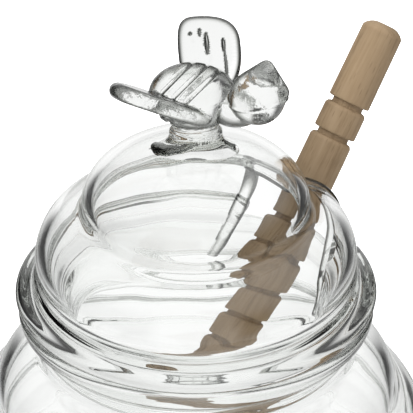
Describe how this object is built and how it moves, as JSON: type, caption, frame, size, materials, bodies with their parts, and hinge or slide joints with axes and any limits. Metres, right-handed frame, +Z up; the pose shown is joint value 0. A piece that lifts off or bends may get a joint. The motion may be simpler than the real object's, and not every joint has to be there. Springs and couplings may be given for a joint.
{
  "type": "honey pot with dipper",
  "caption": "Clear glass beehive honey pot with a tiered lid, a glass bee for a knob, and a grooved wooden dipper leaning out through a notch in the lid.",
  "frame": {"origin": "centre of the flat underside of the pot", "axes": "+Z up along the axis of the pot and lid, -Y towards the viewer, so that the dipper leans out to the back right (+X, +Y)"},
  "size_m": [0.1044, 0.1044, 0.1381],
  "materials": {
    "pot_glass": "clear polished glass",
    "lid_glass": "clear polished glass",
    "dipper_wood": "bare turned beech"
  },
  "bodies": {
    "root": {"pot": "pot_glass", "lid": "lid_glass", "dipper": "dipper_wood"}
  },
  "joints": []
}
